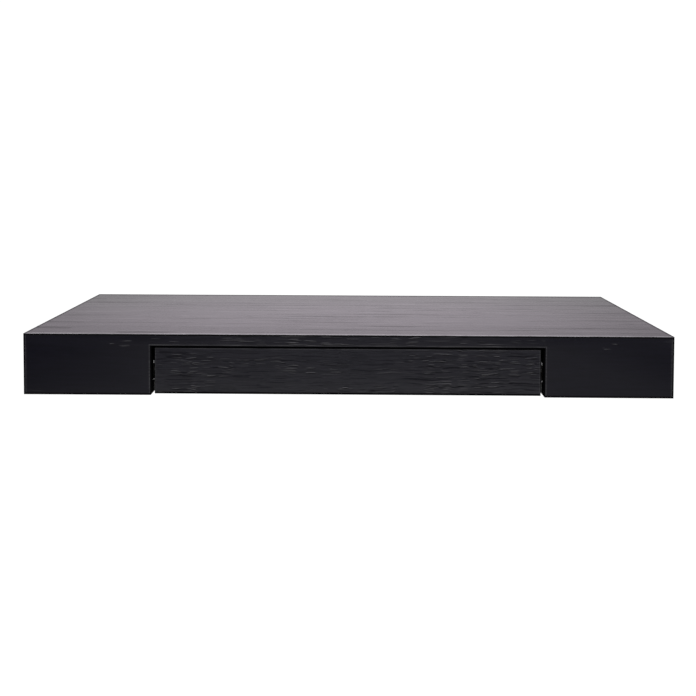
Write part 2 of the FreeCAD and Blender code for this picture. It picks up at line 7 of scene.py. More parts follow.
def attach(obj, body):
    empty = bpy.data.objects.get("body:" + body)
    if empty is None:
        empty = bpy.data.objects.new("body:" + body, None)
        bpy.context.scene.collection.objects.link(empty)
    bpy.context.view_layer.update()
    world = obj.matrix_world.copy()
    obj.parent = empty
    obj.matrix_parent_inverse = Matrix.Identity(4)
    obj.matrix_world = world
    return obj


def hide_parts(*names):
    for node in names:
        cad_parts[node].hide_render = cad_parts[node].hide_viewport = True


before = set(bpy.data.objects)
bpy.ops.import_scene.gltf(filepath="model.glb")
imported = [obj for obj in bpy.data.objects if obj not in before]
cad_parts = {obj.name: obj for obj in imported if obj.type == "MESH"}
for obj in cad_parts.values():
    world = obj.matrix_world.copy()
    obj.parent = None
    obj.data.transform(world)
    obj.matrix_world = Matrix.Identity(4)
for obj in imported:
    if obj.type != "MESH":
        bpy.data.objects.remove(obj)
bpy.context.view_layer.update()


# The wall bracket is a strip of rolled steel with four turned rods riveted into it, all zinc plated.
# It is screwed to the wall first, and the shelf is then pushed over the rods and hides it.

MM = 0.001
ZINC_DARK = (0.50, 0.515, 0.54, 1)
ZINC_LIGHT = (0.74, 0.75, 0.765, 1)
ROLLED_ALONG_X = (30, 1500, 1500)
ROLLING_DEPTH = 0.02 * MM


def feed(socket, value):
    """Link a varying value to a socket, or set the socket to a plain one."""
    if isinstance(value, Value):
        socket.id_data.links.new(value.socket, socket)
    else:
        socket.default_value = value


class Value:
    """A number that varies over a surface; arithmetic on it adds the nodes that work it out."""

    def __init__(self, socket):
        self.socket = socket

    def reckon(self, operation, *terms):
        """One step of arithmetic on varying or plain values."""
        step = self.socket.id_data.nodes.new("ShaderNodeMath")
        step.operation = operation
        for socket, term in zip(step.inputs, terms):
            feed(socket, term)
        return Value(step.outputs[0])

    def __add__(self, other):
        return self.reckon("ADD", self, other)

    def __radd__(self, other):
        return self.reckon("ADD", other, self)

    def __sub__(self, other):
        return self.reckon("SUBTRACT", self, other)

    def __rsub__(self, other):
        return self.reckon("SUBTRACT", other, self)

    def __mul__(self, other):
        return self.reckon("MULTIPLY", self, other)

    def __rmul__(self, other):
        return self.reckon("MULTIPLY", other, self)

    def __gt__(self, other):
        return self.reckon("GREATER_THAN", self, other)

    def __lt__(self, other):
        return self.reckon("LESS_THAN", self, other)

    def __abs__(self):
        return self.reckon("ABSOLUTE", self)

    def larger(self, other):
        return self.reckon("MAXIMUM", self, other)


class Finish:
    """One finish of the object: a material, its shader and the nodes that vary it."""

    def __init__(self, name, **constants):
        self.material = bpy.data.materials.new(name)
        self.material.use_nodes = True
        self.tree = self.material.node_tree
        self.shader = self.tree.nodes["Principled BSDF"]
        for socket, value in constants.items():
            self.shader.inputs[socket.replace("_", " ")].default_value = value
        self.place = self.node("TexCoord", output="Object")

    def node(self, kind, settings=(), inputs=(), output=0):
        """Any node by its kind, with its settings and the values or links of its sockets."""
        made = self.tree.nodes.new("ShaderNode" + kind)
        for name, value in dict(settings).items():
            setattr(made, name, value)
        for name, value in dict(inputs).items():
            feed(made.inputs[name], value)
        return Value(made.outputs[output])

    def coordinate(self, axis):
        return self.node("SeparateXYZ", inputs={"Vector": self.place}, output=axis)

    def facing(self, axis):
        """How far the surface faces along an axis, from minus one to one."""
        normal = self.node("NewGeometry", output="True Normal")
        return self.node("SeparateXYZ", inputs={"Vector": normal}, output=axis)

    def scaled(self, scale, place=None):
        return self.node("VectorMath", {"operation": "MULTIPLY"},
                         {0: place or self.place, 1: scale})

    def noise(self, scale, detail=2.0, place=None, output="Fac"):
        """Soft cloudy variation, with so many clouds to the metre along each axis."""
        return self.node("TexNoise", inputs={"Vector": self.scaled(scale, place), "Scale": 1.0,
                                             "Detail": detail}, output=output)

    def cells(self, scale, place=None, output="Color"):
        """Cells that each have a chance value of their own, with so many to the metre."""
        return self.node("TexVoronoi", inputs={"Vector": self.scaled(scale, place), "Scale": 1.0},
                         output=output)

    def spot(self, middle, reach):
        """An oval spot that is one in its middle and falls to nought at its reach."""
        place = self.node("Mapping", {"vector_type": "TEXTURE"},
                          {"Vector": self.place, "Location": middle, "Scale": reach})
        return self.node("TexGradient", {"gradient_type": "SPHERICAL"}, {"Vector": place}, output="Fac")

    def rise(self, value, low, high):
        """Nought below the low value, one above the high one, and smooth between them."""
        return self.node("MapRange", {"interpolation_type": "SMOOTHSTEP"},
                         {"Value": value, "From Min": low, "From Max": high})

    def blend(self, share, first, second):
        """The first colour, turning to the second one as the share goes to one."""
        return self.node("Mix", {"data_type": "RGBA"}, {0: share, 6: first, 7: second}, output=2)

    def relief(self, height, depth):
        """Raise the surface by the height's share of a depth in metres."""
        normal = self.node("Bump", inputs={"Height": height, "Distance": depth})
        self.vary("Normal", normal)

    def vary(self, socket, value):
        feed(self.shader.inputs[socket], value)

    def overlay(self, share, layer):
        """Lay another shader over the surface by a share."""
        mixed = self.node("MixShader", inputs={0: share, 1: Value(self.shader.outputs[0]), 2: layer})
        feed(self.tree.nodes["Material Output"].inputs["Surface"], mixed)

    def cover(self, *names):
        """Give the finish to pieces that keep their plain shape."""
        for name in names:
            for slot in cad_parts[name].material_slots:
                slot.material = self.material


def even(scale):
    return (scale, scale, scale)


def zinc_plate(name, rolled):
    """Bright zinc with fine marks along the rolled direction and soft cloudy blotches."""
    zinc = Finish(name, Metallic=1.0)
    marks = zinc.noise(rolled, 3.0)
    clouds = zinc.noise(even(90), 4.0)
    crystals = zinc.cells(even(420))
    tone = zinc.rise(0.5 * marks + 0.3 * clouds + 0.2 * crystals, 0.3, 0.7)
    zinc.plating = zinc.blend(tone, ZINC_DARK, ZINC_LIGHT)
    zinc.vary("Base Color", zinc.plating)
    zinc.vary("Roughness", 0.2 + 0.26 * clouds)
    zinc.relief(marks, ROLLING_DEPTH)
    return zinc


zinc_plate("bracket_zinc", ROLLED_ALONG_X).cover("wall_rail", "support_rods")


# The battens inside the two blocks are planed pine, bored for the rods and glued to the bottoms.
# Their growth rings run along the width as stripes of pale and reddish wood.

PINE_PALE = (0.66, 0.44, 0.21, 1)
PINE_YELLOW = (0.76, 0.55, 0.29, 1)
PINE_LATE_WOOD = (0.42, 0.20, 0.07, 1)
PINE_RINGS = (1.5, 170, 60)
PINE_SWAY = (5, 30, 30)
PINE_FIBRES = (30, 1600, 1600)
PLANED_DEPTH = 0.08 * MM

pine = Finish("planed_pine", Roughness=0.6)
sway = pine.noise(PINE_SWAY, 2.0)
rings = pine.noise(PINE_RINGS, 2.0)
late_wood = pine.rise(rings + 0.25 * sway, 0.55, 0.72)
fibres = pine.noise(PINE_FIBRES, 2.0)
early_wood = pine.blend(fibres, PINE_PALE, PINE_YELLOW)
pine.vary("Base Color", pine.blend(0.75 * late_wood, early_wood, PINE_LATE_WOOD))
pine.vary("Roughness", 0.5 + 0.25 * fibres)
pine.relief(fibres - 0.4 * late_wood, PLANED_DEPTH)
pine.cover("left_rear_batten", "right_rear_batten", "left_rod_batten", "right_rod_batten")


# Fluted beech dowels tie the boards of the carcass and of the drawer box, glued into blind holes.
# Beech is pinkish and close grained, with short dark flecks.

BEECH_DARK = (0.55, 0.33, 0.18, 1)
BEECH_LIGHT = (0.68, 0.44, 0.26, 1)
BEECH_FLECK = (0.33, 0.16, 0.08, 1)
FLECK_DEPTH = 0.05 * MM

beech = Finish("beech_dowel", Roughness=0.55)
ray_flecks = beech.rise(beech.noise(even(900), 1.0), 0.6, 0.7)
cast = beech.noise(even(120), 3.0)
body_tone = beech.blend(cast, BEECH_DARK, BEECH_LIGHT)
beech.vary("Base Color", beech.blend(0.6 * ray_flecks, body_tone, BEECH_FLECK))
beech.vary("Roughness", 0.45 + 0.25 * cast)
beech.relief(ray_flecks, -FLECK_DEPTH)
beech.cover("carcass_dowels", "drawer_dowels")


# The inner boards are particle board in plain black foil: bay walls, block bottoms and the rear rail.
# The foil is lightly pebbled, and the chips show where a board was sawn to length.

CHIP_DARK = (0.20, 0.115, 0.055, 1)
CHIP_LIGHT = (0.58, 0.40, 0.22, 1)
CHIPS = (420, 420, 700)
FOIL_DARK = (0.0075, 0.0072, 0.0085, 1)
FOIL_LIGHT = (0.0135, 0.013, 0.015, 1)
PEBBLE_DEPTH = 0.05 * MM
SQUARE_ON = 0.9


def particle_board(finish):
    """Colour of a sawn edge: pressed chips of pale and brown wood."""
    chips = finish.cells(CHIPS)
    dust = finish.noise(even(1500), 3.0)
    return finish.blend(finish.rise(0.7 * chips + 0.5 * dust, 0.2, 0.95), CHIP_DARK, CHIP_LIGHT)


def plain_foil(name, sawn_axis):
    """Pebbled black foil on the faces and bare chips on the edges that look along one axis."""
    foil = Finish(name, IOR=1.38)
    pebbles = foil.noise(even(1100), 2.0)
    cast = foil.noise(even(14), 3.0)
    black = foil.blend(cast, FOIL_DARK, FOIL_LIGHT)
    sawn = abs(foil.facing(sawn_axis)) > SQUARE_ON
    foil.vary("Base Color", foil.blend(sawn, black, particle_board(foil)))
    foil.vary("Roughness", 0.6 + 0.12 * cast + 0.2 * sawn)
    foil.relief(pebbles, PEBBLE_DEPTH)
    return foil


side_foil = plain_foil("black_foil_sides", "Y")
side_foil.cover("left_bay_wall", "right_bay_wall", "left_block_bottom", "right_block_bottom")
cross_foil = plain_foil("black_foil_cross_boards", "X")
cross_foil.cover("bay_rear_rail")


# The top is the largest leaf of the outer box, a particle board wrapped in black oak foil.
# The board is grooved and folded at its mitres, so the foil runs unbroken round each soft fold.
# From below it is bored for the dowels of the bay walls.

WIDTH = 800 * MM
DEPTH = 250 * MM
LEAF = 15 * MM
TOP = 39.5 * MM
FOLD = 0.8 * MM
FOLD_STEPS = 4
BAY = 485 * MM
WALL_BOARD = 12 * MM
RAIL_RECESS = 8 * MM
DOWEL_HOLE = 6.2 * MM
HOLE_SIDES = 24
HOLE_COVER = 4 * MM
UPRIGHT = (0, 0, 0)
SMOOTH_UNDER = math.radians(32)
CLOSE = 0.001 * MM

HALF = WIDTH / 2
FRONT = -DEPTH
INSIDE = FRONT + LEAF
UNDER_TOP = TOP - LEAF
WALL_MIDDLE = BAY / 2 + WALL_BOARD / 2

TOP_DARK = (0.0045, 0.0034, 0.0055, 1)
TOP_LIGHT = (0.0080, 0.0064, 0.0090, 1)
# A light colour along the folds, partly wear and partly a painted highlight.
FOLD_WEAR_AND_HIGHLIGHT = (0.50, 0.48, 0.52, 1)
# The pore rim colour is a painted highlight and the pore shade colour a painted shadow, at the lips of
# open pores.
PORE_RIM_HIGHLIGHT = (0.1, 0.097, 0.105, 1)
PORE_SHADE = (0.0005, 0.0005, 0.0008, 1)
# The cut ink blackens sawn edges and is also the flat colour of painted shade along edges and in pores.
CUT_INK_AND_SHADE = (0.006, 0.0057, 0.0066, 1)

GRAIN_BANDS = (1.5, 45)
GRAIN_LINES = (22, 700)
FURROW_GROUPS = (2.2, 17)
BRIGHT_STREAKS = (9, 170)
PORE_CROWDS = (9, 40)
SHORT_PORES = (48, 1000)
LONG_PORES = (16, 1000)
CLOSED_PORES = 0.72
PORE_LIP = 1.15 * MM
SHADE_INK = 0.85
WAVER = 7 * MM
WIDE_FURROWS = (3.5, 150)
GRAIN_DEPTH = 0.04 * MM
SAWN_SKIN = 0.05 * MM


def near(measured, place):
    return abs(measured - place) < CLOSE


def lies(start, end, axis, place):
    """Whether both ends of an edge are at one place along an axis."""
    index = "XYZ".index(axis)
    return near(start[index], place) and near(end[index], place)


def block(name, low, high):
    """A squared block between two corners, from which a board is cut."""
    low, high = Vector(low), Vector(high)
    bpy.ops.object.select_all(action="DESELECT")
    bpy.ops.mesh.primitive_cube_add(size=1, location=(low + high) / 2, scale=high - low)
    bpy.ops.object.transform_apply(location=True, rotation=True, scale=True)
    made = bpy.context.object
    made.name = name
    return made


def pick_edges(board, wanted):
    """Open a board for editing, with the edges selected whose two ends the test accepts."""
    bpy.ops.object.mode_set(mode="EDIT")
    bpy.ops.mesh.select_mode(type="EDGE")
    bpy.ops.mesh.select_all(action="DESELECT")
    bpy.ops.object.mode_set(mode="OBJECT")
    for edge in board.data.edges:
        start, end = (board.data.vertices[index].co for index in edge.vertices)
        edge.select = wanted(start, end)
    bpy.ops.object.mode_set(mode="EDIT")


def round_over(board, radius, wanted):
    """Round the edges whose two ends the test accepts."""
    pick_edges(board, wanted)
    bpy.ops.mesh.bevel(offset=radius, segments=FOLD_STEPS, affect="EDGES", clamp_overlap=False)
    bpy.ops.object.mode_set(mode="OBJECT")


def saw(board, point, waste):
    """Cut a board along a plane and drop the side that the waste direction points to."""
    bpy.ops.object.mode_set(mode="EDIT")
    bpy.ops.mesh.select_all(action="SELECT")
    bpy.ops.mesh.bisect(plane_co=point, plane_no=waste, use_fill=True, clear_outer=True)
    bpy.ops.object.mode_set(mode="OBJECT")


def cut_out(board, cutter):
    """Take a cutter's shape out of a board and throw the cutter away."""
    bpy.ops.object.select_all(action="DESELECT")
    board.select_set(True)
    bpy.context.view_layer.objects.active = board
    cut = board.modifiers.new("cut", "BOOLEAN")
    cut.object = cutter
    cut.operation = "DIFFERENCE"
    cut.solver = "EXACT"
    bpy.ops.object.modifier_apply(modifier=cut.name)
    bpy.data.objects.remove(cutter)


def bore(board, mouth, depth, turn):
    """Drill a round dowel hole from its mouth on a face."""
    bpy.ops.object.select_all(action="DESELECT")
    bpy.ops.mesh.primitive_cylinder_add(vertices=HOLE_SIDES, radius=DOWEL_HOLE / 2, depth=2 * depth,
                                        location=mouth, rotation=turn)
    cut_out(board, bpy.context.object)


def dress(board, finish, body, slot, *replaced):
    """Clean a finished board, give it its surface and set it on its body in place of the plain one."""
    bpy.ops.object.select_all(action="DESELECT")
    board.select_set(True)
    bpy.context.view_layer.objects.active = board
    bpy.ops.object.mode_set(mode="EDIT")
    bpy.ops.mesh.select_all(action="SELECT")
    bpy.ops.mesh.remove_doubles(threshold=CLOSE)
    bpy.ops.mesh.normals_make_consistent(inside=False)
    bpy.ops.object.mode_set(mode="OBJECT")
    bpy.ops.object.shade_smooth_by_angle(angle=SMOOTH_UNDER)
    board.data.materials.append(finish.material)
    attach(board, body)
    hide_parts(*replaced)


def oak_foil(name, along, across, dark, light, flecks, crowd, lacquer, furrow, furrowed, gloss, wear_and_painted_light,
             broken=0, lined=0, streaked=0, open_grain=None, ink_and_shade_lines=(), ink=CUT_INK_AND_SHADE, wave=(12, 25)):
    """Black oak foil whose grain runs along one axis, with bare chips on its sawn rear edge.

    Flecks and crowd are the strength and the crowding of the open pores, each painted as a pale rim
    highlight with a painted shadow a lip's height across the grain, furrow and furrowed the size and
    the strength of the furrows, and broken, lined and streaked how far these break up, are inked and
    catch the light. A rub gives a distance from a line, its width, its colour, its share and how far it
    polishes; the rubs paint folds that are partly worn and partly a painted highlight, painted
    highlight lines beside edges and a painted lighter middle. An ink line gives a distance from a line,
    its width and its share; the ink lines blacken sawn edges and paint shade along edges, and the
    painted shadows of the pores are overlaid in the same flat ink.
    """
    oak = Finish(name, IOR=1.32, Coat_Roughness=1.2 * gloss)

    def stretch(lengthwise, crosswise):
        scale = [crosswise] * 3
        scale["XYZ".index(along)] = lengthwise
        return tuple(scale)

    def moved(place, step):
        return oak.node("VectorMath", {"operation": "ADD"}, {0: place, 1: step})

    bend = oak.noise(stretch(*wave), 2.0, output="Color")
    bend = oak.node("VectorMath", {"operation": "SUBTRACT"}, {0: bend, 1: even(0.5)})
    wavy = moved(oak.place, oak.scaled(stretch(0, WAVER), bend))

    bands = oak.noise(stretch(*GRAIN_BANDS), 3.0, wavy)
    lines = oak.rise(oak.noise(stretch(*GRAIN_LINES), 2.0, wavy), 0.35, 0.65)
    furrows = 1 - oak.rise(oak.noise(stretch(*furrow), 1.0, wavy), 0.34, 0.43)
    groups = oak.rise(oak.noise(stretch(*FURROW_GROUPS), 1.0), 0.35, 0.6)
    furrows = furrowed * furrows * (1 - broken * (1 - lines)) * (1 - 0.5 * broken * (1 - groups))
    streaks = oak.rise(oak.noise(stretch(*BRIGHT_STREAKS), 1.0, wavy), 0.6, 0.72)

    crowding = oak.noise(stretch(*PORE_CROWDS), 2.0)
    if open_grain:
        crowding = crowding + open_grain(oak)
    crowded = oak.rise(crowding, *crowd)

    def pores(lip):
        """Share of open pores at each place, looked up a lip's height across the grain for the painted
        shadow under a pore's lip.
        """
        step = [0, 0, 0]
        step["XYZ".index(across)] = lip
        place = moved(wavy, tuple(step))
        total = 0
        for pore in (SHORT_PORES, LONG_PORES):
            chance = oak.cells(stretch(*pore), place)
            is_open = oak.node("SeparateColor", inputs={"Color": chance}, output="Red") > CLOSED_PORES
            depth = oak.node("SeparateColor", inputs={"Color": chance}, output="Green")
            inside = 1 - oak.rise(oak.cells(stretch(*pore), place, "Distance"), 0.3, 0.42)
            total = total + is_open * inside * (0.25 + 0.75 * depth)
        return flecks * crowded * total

    # Each open pore is painted: a pale rim as a painted highlight, and a lip's height across the grain
    # a painted shadow.
    rim_highlights = pores(0)
    shades = pores(PORE_LIP)
    tone = oak.rise(0.4 * bands + 0.6 * lines, 0.25, 0.75)
    grain = oak.blend(tone, dark, light)
    shine = lacquer * (1 + streaked * streaks) * (1 - furrows) * (1 - shades)
    rough = gloss + 0.1 * bands + 0.12 * furrows + 0.2 * shades
    # Each rub lays its colour along a line: folds partly worn and partly painted highlight, painted
    # highlight lines and a painted lighter middle.
    for distance, width, colour, share, polish in wear_and_painted_light:
        wear_and_light_share = 1 - oak.rise(abs(distance(oak)), 0.5 * width, width)
        grain = oak.blend(share * wear_and_light_share * (0.55 + 0.9 * lines), grain, colour)
        shine = shine * (1 + (polish - 1) * wear_and_light_share)
    grain = oak.blend(shades, grain, PORE_SHADE)
    grain = oak.blend(rim_highlights, grain, PORE_RIM_HIGHLIGHT)

    # Painted shade: the shadows under the pores' lips and the ink lines along edges are overlaid in
    # flat ink, with the inked furrows.
    ink_and_shade = SHADE_INK * shades
    if lined:
        ink_and_shade = ink_and_shade.larger(lined * furrows * (0.3 + 0.7 * crowded))
    for distance, width, share in ink_and_shade_lines:
        ink_and_shade = ink_and_shade.larger(share * (1 - oak.rise(abs(distance(oak)), 0.5 * width, width)))
    oak.overlay(ink_and_shade, oak.node("BsdfDiffuse", inputs={"Color": ink}))

    sawn = oak.coordinate("Y") > -SAWN_SKIN
    oak.vary("Base Color", oak.blend(sawn, grain, particle_board(oak)))
    oak.vary("Roughness", rough + 0.3 * sawn)
    oak.vary("Coat Weight", shine * (1 - sawn))
    oak.relief(0.4 * bands + 0.3 * lines - 0.6 * furrows, GRAIN_DEPTH)
    return oak


def from_wall(oak):
    return oak.coordinate("Y")


def from_face(oak):
    return oak.coordinate("Y") - FRONT


def from_side(oak):
    return abs(oak.coordinate("X")) - HALF


top = block("wrapped_top", (-HALF, FRONT, UNDER_TOP), (HALF, 0, TOP))
round_over(top, FOLD, lambda start, end: (
    (lies(start, end, "Z", TOP) and not lies(start, end, "Y", 0))
    or (lies(start, end, "Y", FRONT) and near(start.x, end.x))))
saw(top, (0, FRONT, TOP), (0, -1, -1))
saw(top, (-HALF, 0, TOP), (-1, 0, -1))
saw(top, (HALF, 0, TOP), (1, 0, -1))
for side in (-1, 1):
    for sixth in (1, 3, 5):
        place = INSIDE + (-RAIL_RECESS - INSIDE) * sixth / 6
        bore(top, (side * WALL_MIDDLE, place, UNDER_TOP), LEAF - HOLE_COVER, UPRIGHT)

top_foil = oak_foil(
    "black_oak_top", "X", "Y", TOP_DARK, TOP_LIGHT, flecks=0.2, crowd=(0.38, 0.58), lacquer=0.3,
    furrow=WIDE_FURROWS, furrowed=0.85, broken=0.7, gloss=0.2, streaked=0.6,
    # A light line along the front fold, partly wear and partly a painted highlight, with a faint
    # glossier band behind it.
    wear_and_painted_light=[(from_face, 0.7 * MM, FOLD_WEAR_AND_HIGHLIGHT, 0.9, 0.1),
          (from_face, 6 * MM, FOLD_WEAR_AND_HIGHLIGHT, 0.03, 3)],
    # Dark bands along the top's back edge and its ends are painted shade.
    ink_and_shade_lines=[(from_wall, 8 * MM, 0.6),
          (from_side, 5 * MM, 0.5)])
dress(top, top_foil, "shelf", "black_oak_foil", "top_panel")


# The front is the leaf folded down from the top, with the drawer's opening sawn out of its lower edge.
# Its sawn edges are eased and inked black, and the black of the opening's cut faces also stands in for
# the shade in the gap round the drawer. Dark ink lines under its fold and along its ends and underside
# are painted shade, pale lines beside its folds and the opening are painted highlights, and its middle
# is painted lighter as painted light. The pores of the oak stand open along the rail that is left above
# the drawer.

UNDERSIDE = -36.5 * MM
CUT = 0.4 * MM
FINE_FURROWS = (16, 720)
FACE_DARK = (0.0014, 0.0010, 0.0052, 1)
FACE_LIGHT = (0.0026, 0.0020, 0.0074, 1)
# The front is painted lighter over its middle, fading towards its ends: painted light.
LIT_MIDDLE_PAINT = (0.0122, 0.0112, 0.0168, 1)
# Pale lines beside the folds, round the opening and inside the drawer front's edge are painted
# highlights.
EDGE_HIGHLIGHT_PAINT = (0.048, 0.047, 0.051, 1)
FOLD_LINE = 1.3 * MM
SIDE_LINE = 3 * MM
OPENING_LINE = 1.5 * MM
LINE_FADE = 3
OPEN_RAIL = 0.22
FACE_PATCHES = [((-272, 27.5), (26, 5), 0.7), ((323, 26), (14, 6), 0.7)]

face = block("wrapped_front", (-HALF, FRONT, UNDERSIDE), (HALF, INSIDE, TOP))
opening = block("opening", (-BAY / 2, FRONT - LEAF, UNDERSIDE - LEAF),
                (BAY / 2, INSIDE + LEAF, UNDER_TOP))
cut_out(face, opening)
round_over(face, FOLD, lambda start, end: lies(start, end, "Y", FRONT) and (
    lies(start, end, "Z", TOP) or (near(abs(start.x), HALF) and near(start.x, end.x))))
round_over(face, CUT, lambda start, end: lies(start, end, "Y", FRONT) and (
    (near(start.z, end.z) and start.z < UNDER_TOP + CLOSE)
    or (near(abs(start.x), BAY / 2) and near(start.x, end.x))))
saw(face, (0, FRONT, TOP), (0, 1, 1))
saw(face, (-HALF, FRONT, 0), (-1, 1, 0))
saw(face, (HALF, FRONT, 0), (1, 1, 0))


def from_fold(oak):
    return oak.coordinate("Z") - TOP


def under_fold(oak):
    """Distance from a line on the front just under its fold."""
    return oak.coordinate("Z") - (TOP - FOLD_LINE)


def beside_fold(oak):
    """Distance from a line on the front just inside its folds to the ends."""
    return from_side(oak) + SIDE_LINE


def from_middle(oak):
    return oak.coordinate("X")


def from_underside(oak):
    return oak.coordinate("Z") - UNDERSIDE


def from_opening(oak):
    """Distance from the edge of the drawer's opening, nought on its cut faces."""
    beside = abs(oak.coordinate("X")) - BAY / 2
    return beside.larger(oak.coordinate("Z") - UNDER_TOP)


def round_opening(oak):
    """Distance from a line on the front just outside the drawer's opening."""
    return from_opening(oak) - OPENING_LINE + LINE_FADE * from_face(oak)


def patches(oak, spots):
    """Oval patches on the front, given by their middles and reaches in millimetres and a strength."""
    share = 0
    for (x, z), (reach_x, reach_z), strength in spots:
        middle = (x * MM, FRONT, z * MM)
        share = share + strength * oak.spot(middle, (reach_x * MM, LEAF, reach_z * MM))
    return share


def open_face(oak):
    """Where the pores stand open: all along the rail above the drawer and in two patches."""
    rail = (abs(oak.coordinate("X")) < BAY / 2) * (oak.coordinate("Z") > UNDER_TOP)
    return OPEN_RAIL * rail + patches(oak, FACE_PATCHES)


face_foil = oak_foil(
    "black_oak_front", "X", "Z", FACE_DARK, FACE_LIGHT, flecks=0.85, crowd=(0.66, 0.74), lacquer=0.1,
    furrow=FINE_FURROWS, furrowed=0.15, gloss=0.28, open_grain=open_face,
    # A light line along the fold, partly wear and partly a painted highlight.
    wear_and_painted_light=[(from_fold, 0.6 * MM, FOLD_WEAR_AND_HIGHLIGHT, 0.6, 0.4),
          # A pale line just inside each fold to the ends is a painted highlight.
          (beside_fold, 0.9 * MM, EDGE_HIGHLIGHT_PAINT, 0.4, 0.6),
          # The middle of the front, over the drawer, is painted lighter as painted light.
          (from_middle, BAY / 2 + 2 * LEAF, LIT_MIDDLE_PAINT, 0.7, 1),
          # A pale line just outside the drawer's opening is a painted highlight.
          (round_opening, 0.8 * MM, EDGE_HIGHLIGHT_PAINT, 0.6, 0.4)],
    # Ink lines under the fold, along the underside and the ends are painted shade; the opening's cut
    # faces are inked black, which also paints the shade in the gap.
    ink_and_shade_lines=[(under_fold, 1.2 * MM, 1),
          (from_opening, 0.8 * MM, 1),
          (from_underside, 3.2 * MM, 1),
          (from_side, 2.4 * MM, 1)])
dress(face, face_foil, "shelf", "black_oak_foil", "front_fascia")


# The two ends are the last leaves of the outer box, folded down from the top and glued to the front.
# Their grain runs from front to back, and their sawn rear edges stay bare against the wall.

end_foil = oak_foil(
    "black_oak_ends", "Y", "Z", FACE_DARK, FACE_LIGHT, flecks=0.5, crowd=(0.58, 0.7), lacquer=0.25,
    furrow=FINE_FURROWS, furrowed=0.3, gloss=0.28,
    # A light line along the fold, partly wear and partly a painted highlight.
    wear_and_painted_light=[(from_fold, 0.6 * MM, FOLD_WEAR_AND_HIGHLIGHT, 0.3, 0.7)])
for name, side in (("left", -1), ("right", 1)):
    low_x, high_x = sorted((side * HALF, side * (HALF - LEAF)))
    end_leaf = block(f"wrapped_{name}_end", (low_x, FRONT, UNDERSIDE), (high_x, 0, TOP))
    round_over(end_leaf, FOLD, lambda start, end: (
        (lies(start, end, "X", side * HALF) and not lies(start, end, "Y", 0))
        or (lies(start, end, "Y", FRONT) and near(start.z, end.z))))
    saw(end_leaf, (side * HALF, 0, TOP), (-side, 0, 1))
    saw(end_leaf, (side * HALF, FRONT, 0), (-side, -1, 0))
    dress(end_leaf, end_foil, "shelf", "black_oak_foil", f"{name}_end_panel")


# The drawer runs on two ball slides of bent zinc-plated strip, screwed to the bay walls and the box.
# Each has caged rows of hardened balls, greased, and a rubber buffer that the drawer closes against.
# The strip's sheared front ends are painted dark as shade, with painted white glints near the upper and
# lower bends.

SLIDE_AXIS = -9.5 * MM
GLINT_HEIGHT = 11 * MM
GLINT_REACH = 2.3 * MM
LOW_GLINT_LOSS = 0.8 * MM
ROLLED_ALONG_Y = (1500, 40, 1500)
GLINT_WHITE = (0.95, 0.95, 0.96, 1)
SHEARED_END_SHADE = (0.075, 0.072, 0.070, 1)

slide_zinc = zinc_plate("slide_zinc", ROLLED_ALONG_Y)
sheared = abs(slide_zinc.facing("Y")) > SQUARE_ON
height = slide_zinc.coordinate("Z") - SLIDE_AXIS
# Painted glints: the sheared ends are white and unmetalled in bands near the upper and lower bends, and
# painted dark as shade elsewhere.
off_glint = abs(abs(height) - GLINT_HEIGHT) + LOW_GLINT_LOSS * (height < 0)
end_shade = sheared * slide_zinc.rise(off_glint, 0.5 * GLINT_REACH, GLINT_REACH)
zinc_with_glints = slide_zinc.blend(sheared, slide_zinc.plating, GLINT_WHITE)
slide_zinc.vary("Base Color", slide_zinc.blend(end_shade, zinc_with_glints, SHEARED_END_SHADE))
slide_zinc.vary("Metallic", 1 - sheared + end_shade)
for name in ("left", "right"):
    slide_zinc.cover(f"{name}_outer_rail", f"{name}_inner_rail", f"{name}_ball_cage")

SCREW_DARK = (0.42, 0.40, 0.37, 1)
SCREW_LIGHT = (0.63, 0.61, 0.57, 1)
TURNING_DEPTH = 0.03 * MM
screw_steel = Finish("screw_steel", Metallic=1.0)
turned = screw_steel.noise(even(1400), 2.0)
dulled = screw_steel.noise(even(260), 3.0)
screw_steel.vary("Base Color", screw_steel.blend(dulled, SCREW_DARK, SCREW_LIGHT))
screw_steel.vary("Roughness", 0.26 + 0.22 * dulled)
screw_steel.relief(turned, TURNING_DEPTH)
screw_steel.cover("lock_screws", "drawer_bottom_screws",
                  "left_outer_rail_screws", "right_outer_rail_screws",
                  "left_inner_rail_screws", "right_inner_rail_screws")

BALL_GREASED = (0.62, 0.60, 0.55, 1)
BALL_CLEAN = (0.80, 0.80, 0.81, 1)
ball_steel = Finish("ball_steel", Metallic=1.0)
grease = ball_steel.noise(even(500), 3.0)
ball_steel.vary("Base Color", ball_steel.blend(grease, BALL_GREASED, BALL_CLEAN))
ball_steel.vary("Roughness", 0.06 + 0.2 * grease)
ball_steel.cover("left_cage_balls", "right_cage_balls")

RUBBER_BLACK = (0.010, 0.010, 0.011, 1)
RUBBER_BLOOM = (0.028, 0.027, 0.027, 1)
MOULDED_DEPTH = 0.04 * MM
rubber = Finish("buffer_rubber", IOR=1.45)
bloom = rubber.noise(even(300), 3.0)
rubber.vary("Base Color", rubber.blend(bloom, RUBBER_BLACK, RUBBER_BLOOM))
rubber.vary("Roughness", 0.6 + 0.25 * bloom)
rubber.relief(rubber.noise(even(1800), 2.0), MOULDED_DEPTH)
rubber.cover("left_rail_buffer", "right_rail_buffer")


# The drawer box has sides and a back of the same black foiled board, dowelled and glued.
# Its floor is thin hardboard, lacquered black above and bare with a mesh print below, in a groove.

